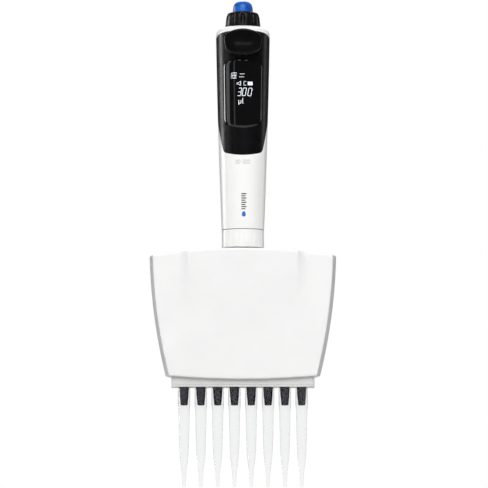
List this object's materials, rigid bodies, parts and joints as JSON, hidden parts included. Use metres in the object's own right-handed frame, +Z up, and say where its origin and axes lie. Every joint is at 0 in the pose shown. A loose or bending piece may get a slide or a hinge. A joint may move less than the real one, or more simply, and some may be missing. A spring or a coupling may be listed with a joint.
{
  "type": "electronic multichannel pipette",
  "caption": "Hand-held electronic multichannel pipette with a swivelling head, a row of fitted tips, a push button, an adjusting knob, a display and a tip-ejector key.",
  "frame": {"origin": "on the handle's axis, level with the ends of the tips", "axes": "+Z up along the handle, the display faces -Y, the channels run along X"},
  "size_m": [0.1002, 0.063, 0.2617],
  "materials": {
    "white_casing": "satin",
    "white_ring": "satin",
    "white_head": "satin",
    "white_strip": "satin",
    "black_fascia": "satin",
    "display_window": "gloss",
    "black_key": "satin",
    "black_knob": "satin",
    "blue_button": "satin",
    "cone_plastic": "satin",
    "clear_tip": "clear satin",
    "seal_rubber": "matt",
    "steel": "fine brushed",
    "contact_metal": "polished",
    "aluminium_plate": "anodised",
    "bearing_plastic": "moulded",
    "display_glass": "smooth",
    "circuit_board": "solder resist",
    "battery_wrap": "film"
  },
  "bodies": {
    "handle": {"rear_shell": "white_casing", "front_fascia": "black_fascia", "display_lens": "display_window", "finger_rest": "white_casing", "housing_screws": "steel", "charge_contacts": "contact_metal", "swivel_bush": "bearing_plastic", "lcd_module": "display_glass", "main_board": "circuit_board", "battery": "battery_wrap", "control_board": "circuit_board", "button_switch": "black_fascia", "rotary_encoder": "steel", "stepper_motor": "steel", "motor_bracket": "aluminium_plate", "button_spring": "steel"},
    "button": {"operating_button": "blue_button"},
    "knob": {"adjusting_knob": "black_knob"},
    "key": {"ejector_key": "black_key", "ejector_link": "aluminium_plate", "ejector_rod": "steel"},
    "screw": {"lead_screw": "steel"},
    "carriage": {"drive_nut": "bearing_plastic", "push_rod": "bearing_plastic"},
    "nut_ring": {"coupling_nut": "white_ring"},
    "head": {"neck_tube": "bearing_plastic", "top_plate": "aluminium_plate", "head_front_cover": "white_head", "head_rear_cover": "white_head", "cover_screws": "steel", "guide_rods": "steel", "cylinder_block": "bearing_plastic", "seal_plate": "aluminium_plate", "piston_seals": "seal_rubber", "cone_o_rings": "seal_rubber", "yoke_pins": "steel", "ejector_springs": "steel", "tip_cone_1": "cone_plastic", "tip_cone_2": "cone_plastic", "tip_cone_3": "cone_plastic", "tip_cone_4": "cone_plastic", "tip_cone_5": "cone_plastic", "tip_cone_6": "cone_plastic", "tip_cone_7": "cone_plastic", "tip_cone_8": "cone_plastic"},
    "piston_set": {"piston_plate": "aluminium_plate", "clamp_plate": "aluminium_plate", "pistons": "steel"},
    "ejector": {"ejector_sleeve": "bearing_plastic", "ejector_yoke": "steel", "ejector_strip": "white_strip"},
    "tip_row": {"tip_1": "clear_tip", "tip_2": "clear_tip", "tip_3": "clear_tip", "tip_4": "clear_tip", "tip_5": "clear_tip", "tip_6": "clear_tip", "tip_7": "clear_tip", "tip_8": "clear_tip"}
  },
  "joints": [
    {"name": "button_press", "type": "slide", "parent": "handle", "child": "button", "axis": [0, 0, -1], "range_m": [0, 0.0025], "stiffness_N_per_m": 400, "springref_m": -0.002, "deforming": ["button_spring"]},
    {"name": "knob_turn", "type": "hinge", "parent": "handle", "child": "knob", "pos_m": [0, 0, 0.25], "axis": [0, 0, 1], "continuous": true},
    {"name": "key_press", "type": "slide", "parent": "handle", "child": "key", "axis": [0, 0, -1], "range_m": [0, 0.0045], "stiffness_N_per_m": 600, "springref_m": -0.003},
    {"name": "screw_turn", "type": "hinge", "parent": "handle", "child": "screw", "pos_m": [0, 0, 0.16], "axis": [0, 0, -1], "range_deg": [0, 1800]},
    {"name": "carriage_slide", "type": "slide", "parent": "handle", "child": "carriage", "axis": [0, 0, 1], "range_m": [0, 0.015]},
    {"name": "nut_turn", "type": "hinge", "parent": "handle", "child": "nut_ring", "pos_m": [0, 0, 0.133], "axis": [0, 0, 1], "range_deg": [0, 90]},
    {"name": "head_swivel", "type": "hinge", "parent": "handle", "child": "head", "pos_m": [0, 0, 0.142], "axis": [0, 0, 1], "continuous": true},
    {"name": "piston_slide", "type": "slide", "parent": "head", "child": "piston_set", "axis": [0, 0, 1], "range_m": [0, 0.015]},
    {"name": "ejector_slide", "type": "slide", "parent": "head", "child": "ejector", "axis": [0, 0, -1], "range_m": [0, 0.0045], "deforming": ["ejector_springs"]},
    {"name": "tip_eject", "type": "slide", "parent": "head", "child": "tip_row", "axis": [0, 0, -1], "range_m": [0, 0.0045]}
  ],
  "couplings": [
    {"joint": "ejector_slide", "follows": "key_press", "ratio": 1},
    {"joint": "tip_eject", "follows": "key_press", "ratio": 1},
    {"joint": "screw_turn", "follows": "carriage_slide", "rad_per_m": 2094.4},
    {"joint": "piston_slide", "follows": "carriage_slide", "ratio": 1}
  ]
}
